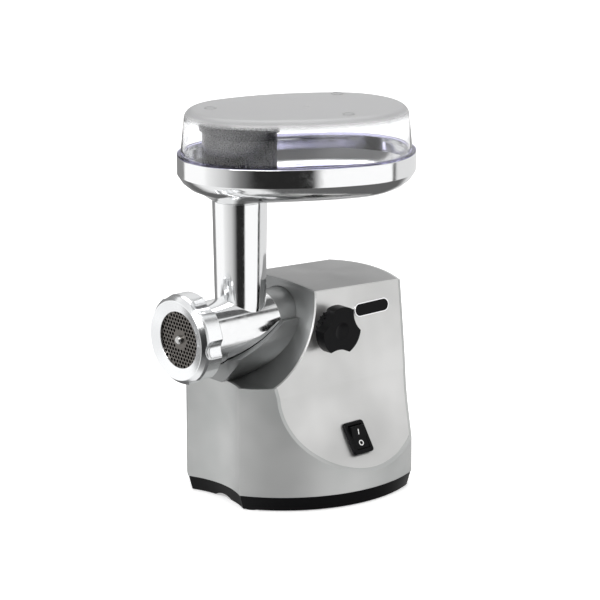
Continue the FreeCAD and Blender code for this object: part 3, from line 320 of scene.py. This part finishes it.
def place(along, aside, z):
    """From along and across the tray's long axis, in millimetres, to the frame."""
    x = along * math.sin(TRAY_TURN) + aside * math.cos(TRAY_TURN)
    y = along * math.cos(TRAY_TURN) - aside * math.sin(TRAY_TURN)
    return Vector((NECK.x + x * MM, NECK.y + y * MM, z * MM))


def sweep(centre, radius, start, stop):
    """Points along an arc, from its start angle up to but not including its stop angle."""
    for k in range(ARC_STEPS):
        angle = start + (stop - start) * k / ARC_STEPS
        yield centre[0] + radius * math.cos(angle), centre[1] + radius * math.sin(angle)


def egg(offset, z):
    """The egg outline moved out by offset: two round ends joined by two long arcs."""
    small, big, side = SMALL_R + offset, BIG_R + offset, SIDE_R + offset
    gap = BIG_AT - SMALL_AT
    along = ((side - small) ** 2 - (side - big) ** 2 + gap ** 2) / (2 * gap)
    across = math.sqrt((side - small) ** 2 - along ** 2)
    near = math.atan2(across, -along)
    far = math.atan2(across, gap - along)
    centre = SMALL_AT + along
    outline = [*sweep((SMALL_AT, 0), small, near, 2 * math.pi - near),
               *sweep((centre, across), side, -near, -far),
               *sweep((BIG_AT, 0), big, -far, far),
               *sweep((centre, -across), side, far, near)]
    return [place(*point, z) for point in outline]


def circle(radius, z):
    """A circle about the neck whose points face the egg's."""
    turn = 2 * math.pi / 3
    outline = [*sweep((0, 0), radius, turn, 2 * math.pi - turn),
               *sweep((0, 0), radius, -turn, -math.pi / 4),
               *sweep((0, 0), radius, -math.pi / 4, math.pi / 4),
               *sweep((0, 0), radius, math.pi / 4, turn)]
    return [place(*point, z) for point in outline]


def between(ring, other, steps):
    """Rings part of the way from one ring to another."""
    for k in range(1, steps):
        yield [a.lerp(b, k / steps) for a, b in zip(ring, other)]


def bowl_rings(inset, lift):
    """From the foot on the neck up to the band."""
    foot = circle(FOOT_R - inset, NECK_Z + lift)
    eggs = [egg(offset - inset, z + lift) for offset, z in reversed(BOWL)]
    return [foot, *between(foot, eggs[0], 6), *eggs]


def make_tray():
    rings = [circle(THROAT_R, SPOUT_Z), circle(SPOUT_R, SPOUT_Z), circle(SPOUT_R, NECK_Z)]
    rings += bowl_rings(0, 0)
    rings += [egg(0, BAND_Z + 1), egg(0, RIM_Z - 0.6), egg(-0.5, RIM_Z), egg(0.5 - SKIN_T, RIM_Z),
              egg(-SKIN_T, RIM_Z - 0.6)]
    rings += reversed(bowl_rings(SKIN_T, SKIN_T))
    rings += [circle(THROAT_R + 1, NECK_Z + 2.2), circle(THROAT_R, NECK_Z + 1.4)]
    points, faces = skin(rings, looped=True)
    tray = new_piece("bright_tray", points, faces, "polished_aluminium", "tray", sharp=28.0)
    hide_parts("tray")


def shoulder(inset, drop, steps=8):
    """The cover's wall and rounded shoulder, from the flange to the edge of the flat top."""
    yield egg(WALL_LOW[0] - inset, WALL_LOW[1])
    for k in range(steps + 1):
        t = math.pi / 2 * k / steps
        offset = WALL_HIGH[0] - inset - SHOULDER_R * (1 - math.cos(t))
        yield egg(offset, WALL_HIGH[1] - drop + SHOULDER_R * math.sin(t))


def make_cover():
    top_in = WALL_HIGH[0] - SHOULDER_R
    lip_out = -SKIN_T - LIP_GAP
    lip_in, lip_z = lip_out - LIP_WIDE, RIM_Z - LIP_DEEP
    ceiling = egg(top_in - COVER_T - 4, COVER_TOP - COVER_T)
    inner = [ceiling, *reversed(list(shoulder(COVER_T, COVER_T)))]
    rim = [egg(lip_in, lip_z), egg(lip_out, lip_z), egg(lip_out, RIM_Z + 0.1), egg(-0.2, RIM_Z + 0.1),
           egg(0, RIM_Z + 0.4), egg(0, RIM_Z + 1.5), egg(-0.4, RIM_Z + 1.9)]
    outer = [*shoulder(0, 0), egg(top_in - 4, COVER_TOP)]
    points, faces = skin(inner + rim + outer, cap_first=True, cap_last=True)
    cover = new_piece("clear_dome", points, faces, "clear_cover", "cover", sharp=40.0)
    cover.data.materials.append(MATERIALS["cover_edge"])
    for face in cover.data.polygons:
        if EDGE_LOW < face.center.z / MM < EDGE_HIGH:
            face.material_index = 1
    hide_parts("tray_cover")


def round_ring(centre, radius, z, steps=48):
    turns = [2 * math.pi * k / steps for k in range(steps)]
    return [place(centre[0] + radius * math.cos(t), centre[1] + radius * math.sin(t), z)
            for t in turns]


def make_cover_feet():
    """Three low rings and the round gate mark on the cover's top."""
    for number, foot in enumerate(COVER_FEET, 1):
        rings = [round_ring(foot, radius, COVER_TOP + z) for radius, z in FOOT_SECTION]
        points, faces = skin(rings, looped=True)
        new_piece(f"cover_foot_{number}", points, faces, "clear_cover", "cover", sharp=50.0)
    rings = [round_ring(GATE_MARK, radius, COVER_TOP + z) for radius, z in GATE_SECTION]
    points, faces = skin(rings, cap_first=True, cap_last=True)
    new_piece("cover_gate_mark", points, faces, "clear_cover", "cover", sharp=50.0)


# --- badge and switch marks ---------------------------------------------------------------
# Millimetres.
SIDE_LEAN = math.atan(16.0 / 88.0)       # the side panel leans in from upright
SWITCH_LEAN = math.radians(34.0 - 11.0)  # the rocker's chord, with its lower half pressed in
ROCKER_HALF, ROCKER_FRONT, ROCKER_HOLLOW = 10.7, 5.0, 1.8
FIELD_HALF_LONG, FIELD_HALF_HIGH, FIELD_THICK, FIELD_EASE, FIELD_SUNK = 20.6, 5.4, 0.25, 0.08, 0.4
LINE_HALF_LONG, LINE_HALF_WIDE, LINE_THICK, LINE_EASE = 2.7, 0.55, 0.12, 0.03
CIRCLE_SECTION = [(1.75, -0.05), (1.8, 0.12), (2.75, 0.12), (2.8, -0.05)]
ALONG = Vector((0, 1, 0))


def stadium(half_long, half_high, steps=12):
    """Outline of a bar with round ends, long in its first coordinate."""
    outline = []
    for side, start in ((1, -math.pi / 2), (-1, math.pi / 2)):
        for k in range(steps + 1):
            t = start + math.pi * k / steps
            across = side * (half_long - half_high) + half_high * math.cos(t)
            outline.append((across, half_high * math.sin(t)))
    return outline


def slab_rings(outline, origin, right, up, out, thick, ease):
    """Rings of a thin slab standing on a plane, with its upper edge eased."""
    for shrink, height in ((0.0, 0.0), (0.0, thick - ease), (ease, thick)):
        ring = []
        for a, b in outline:
            length = math.hypot(a, b)
            k = (length - shrink) / length
            ring.append(origin + (right * a * k + up * b * k + out * height) * MM)
        yield ring


def make_badge_field():
    """The blank black field inside the badge's bright rim."""
    out = Vector((math.cos(SIDE_LEAN), 0, math.sin(SIDE_LEAN)))
    up = Vector((-math.sin(SIDE_LEAN), 0, math.cos(SIDE_LEAN)))
    points = [vertex.co for vertex in NODES["badge_plate"].data.vertices]
    front = max(point.dot(out) for point in points)
    rise = [point.dot(up) for point in points if front - point.dot(out) < 0.1 * MM]
    origin = out * (front - FIELD_SUNK * MM) + up * (min(rise) + max(rise)) / 2
    origin.y = middle_of("badge_plate").y
    outline = stadium(FIELD_HALF_LONG, FIELD_HALF_HIGH)
    rings = list(slab_rings(outline, origin, ALONG, up, out, FIELD_THICK, FIELD_EASE))
    points, faces = skin(rings, cap_first=True, cap_last=True)
    new_piece("badge_field", points, faces, "black_plastic", "housing")


def rocker_point(x, z):
    """From the rocker's section, x out of the panel and z up it, to the frame."""
    tilt = next(joint for joint in frame["joints"] if joint["name"] == "rocker_tilt")
    turn = -SWITCH_LEAN
    across = x * math.cos(turn) + z * math.sin(turn)
    rise = z * math.cos(turn) - x * math.sin(turn)
    return Vector(tilt["pos_m"]) + Vector((across, 0, rise)) * MM


def rocker_face(side):
    """Middle, upward and outward directions of the rocker's upper (1) or lower (-1) face."""
    root = rocker_point(ROCKER_FRONT - ROCKER_HOLLOW, 0)
    tip = rocker_point(ROCKER_FRONT, side * ROCKER_HALF)
    up = (tip - root).normalized() * side
    return root.lerp(tip, 0.5), up, ALONG.cross(up)


def make_on_mark():
    """The upright line of an on-off rocker."""
    origin, up, out = rocker_face(1)
    outline = [(b, a) for a, b in stadium(LINE_HALF_LONG, LINE_HALF_WIDE)]
    rings = list(slab_rings(outline, origin, ALONG, up, out, LINE_THICK, LINE_EASE))
    points, faces = skin(rings, cap_first=True, cap_last=True)
    new_piece("mark_on", points, faces, "white_plastic", "rocker")


def make_off_mark(steps=48):
    """The circle of an on-off rocker."""
    origin, up, out = rocker_face(-1)
    turns = [2 * math.pi * k / steps for k in range(steps)]
    spokes = [ALONG * math.cos(t) + up * math.sin(t) for t in turns]
    rings = [[origin + (spoke * radius + out * height) * MM for spoke in spokes]
             for radius, height in CIRCLE_SECTION]
    points, faces = skin(rings, looped=True)
    new_piece("mark_off", points, faces, "white_plastic", "rocker")


# --- studio -------------------------------------------------------------------------------
# Sky brightness by compass direction in degrees from +x towards +y, from -180 to 180.
SKY_RING = [(-180, 0.25), (-168, 0.25), (-163, 1.0), (-116, 1.0), (-108, 0.85), (-75, 0.55),
            (-60, 0.22), (-52, 0.02), (-22, 0.02), (-17, 1.0), (46, 1.0), (48, 0.06), (52, 0.06),
            (55, 0.74), (140, 0.74), (150, 0.25)]
LOW_RING = [(-180, 0.30), (-165, 0.85), (-75, 0.85), (-50, 0.12), (150, 0.12)]
CEILING = (0.75, 0.75, 0.75, 1.0)
SKY_STRENGTH = 1.08
# Heights on the unit sphere where the low ring turns into the sky ring, and that into the ceiling.
LOW_TO_SKY, SKY_TO_CEILING = (-0.62, -0.42), (0.62, 0.80)
AZIMUTH, ELEVATION = math.radians(49.0), math.radians(15.3)
SENSOR, FOCAL_LENGTH = 36.0, 167.67
EYE_FROM_NECK, EYE_ABOVE_RIM = (1.9317, -1.6056), 0.5486


def fill_ramp(ramp, stops):
    """Grey stops of (position, value) on a colour ramp."""
    while len(ramp.elements) < len(stops):
        ramp.elements.new(1.0)
    for element, (position, value) in zip(ramp.elements, stops):
        element.position = position
        element.color = (value, value, value, 1.0)


def ring_ramp(tree, turn, ring):
    ramp = add(tree, "ShaderNodeValToRGB")
    fill_ramp(ramp.color_ramp, [((angle + 180) / 360, value) for angle, value in ring])
    tree.links.new(turn, ramp.inputs["Fac"])
    return ramp.outputs["Color"]


def blend_by_height(tree, height, start, stop, below, above):
    """One sky colour turning into another between two heights on the unit sphere."""
    share = add(tree, "ShaderNodeMapRange", interpolation_type="SMOOTHSTEP")
    share.inputs["From Min"].default_value = start
    share.inputs["From Max"].default_value = stop
    tree.links.new(height, share.inputs["Value"])
    mix = add(tree, "ShaderNodeMix", data_type="RGBA")
    tree.links.new(share.outputs["Result"], mix.inputs["Factor"])
    for socket, colour in (("A", below), ("B", above)):
        if isinstance(colour, tuple):
            mix.inputs[socket].default_value = colour
        else:
            tree.links.new(colour, mix.inputs[socket])
    return mix.outputs["Result"]


def studio_sky():
    """White for the camera; soft boxes and dark gaps, by direction, for everything else."""
    world = bpy.data.worlds.new("studio")
    bpy.context.scene.world = world
    world.use_nodes = True
    tree = world.node_tree
    tree.nodes.clear()
    link = tree.links.new

    split = add(tree, "ShaderNodeSeparateXYZ")
    link(add(tree, "ShaderNodeTexCoord").outputs["Generated"], split.inputs["Vector"])
    compass = add(tree, "ShaderNodeMath", operation="ARCTAN2")
    link(split.outputs["Y"], compass.inputs[0])
    link(split.outputs["X"], compass.inputs[1])
    turn = add(tree, "ShaderNodeMapRange")
    turn.inputs["From Min"].default_value = -math.pi
    turn.inputs["From Max"].default_value = math.pi
    link(compass.outputs["Value"], turn.inputs["Value"])

    around = ring_ramp(tree, turn.outputs["Result"], SKY_RING)
    under = ring_ramp(tree, turn.outputs["Result"], LOW_RING)
    height = split.outputs["Z"]
    walls = blend_by_height(tree, height, *LOW_TO_SKY, under, around)
    whole = blend_by_height(tree, height, *SKY_TO_CEILING, walls, CEILING)

    lit = add(tree, "ShaderNodeBackground")
    lit.inputs["Strength"].default_value = SKY_STRENGTH
    link(whole, lit.inputs["Color"])
    plain = add(tree, "ShaderNodeBackground")
    plain.inputs["Color"].default_value = (1.0, 1.0, 1.0, 1.0)
    pick = add(tree, "ShaderNodeMixShader")
    link(add(tree, "ShaderNodeLightPath").outputs["Is Camera Ray"], pick.inputs["Fac"])
    link(lit.outputs["Background"], pick.inputs[1])
    link(plain.outputs["Background"], pick.inputs[2])
    link(pick.outputs["Shader"], add(tree, "ShaderNodeOutputWorld").inputs["Surface"])


def softbox(name, place_at, aim, size, power):
    light = bpy.data.lights.new(name, "AREA")
    light.shape = "RECTANGLE"
    light.size, light.size_y = size
    light.energy = power
    lamp = bpy.data.objects.new(name, light)
    lamp.location = place_at
    lamp.rotation_euler = (Vector(aim) - Vector(place_at)).to_track_quat("-Z", "Y").to_euler()
    lamp.visible_camera = False
    bpy.context.collection.objects.link(lamp)


def studio_floor():
    """White sweep, kept out of reflections so that the metal mirrors the soft boxes."""
    half = 6.0
    corners = [(-half, -half, 0), (half, -half, 0), (half, half, 0), (-half, half, 0)]
    mesh = bpy.data.meshes.new("floor")
    mesh.from_pydata(corners, [], [(0, 1, 2, 3)])
    paint = new_material("floor", Base_Color=(0.9, 0.9, 0.9, 1.0), Roughness=0.7,
                         Emission_Color=(1.0, 1.0, 1.0, 1.0), Emission_Strength=0.45)
    mesh.materials.append(paint)
    floor = bpy.data.objects.new("floor", mesh)
    bpy.context.collection.objects.link(floor)
    floor.visible_glossy = False


def camera():
    data = bpy.data.cameras.new("camera")
    data.sensor_width = SENSOR
    data.lens = FOCAL_LENGTH
    eye = bpy.data.objects.new("camera", data)
    level = math.cos(ELEVATION)
    forward = Vector((-math.sin(AZIMUTH) * level, math.cos(AZIMUTH) * level, -math.sin(ELEVATION)))
    east, north = EYE_FROM_NECK
    eye.location = (NECK.x + east, NECK.y + north, RIM_Z * MM + EYE_ABOVE_RIM)
    eye.rotation_euler = forward.to_track_quat("-Z", "Y").to_euler()
    bpy.context.collection.objects.link(eye)
    bpy.context.scene.camera = eye


camera()
dress_cad()
make_tray()
make_cover()
make_cover_feet()
make_badge_field()
make_on_mark()
make_off_mark()
studio_sky()
studio_floor()
softbox("key", (1.0, -1.6, 1.9), (0.0, 0.0, 0.15), (1.2, 1.2), 26.0)
softbox("top", (-0.6, 0.4, 2.2), (0.0, 0.0, 0.2), (1.6, 1.6), 24.0)
bpy.context.scene.view_settings.view_transform = "Standard"
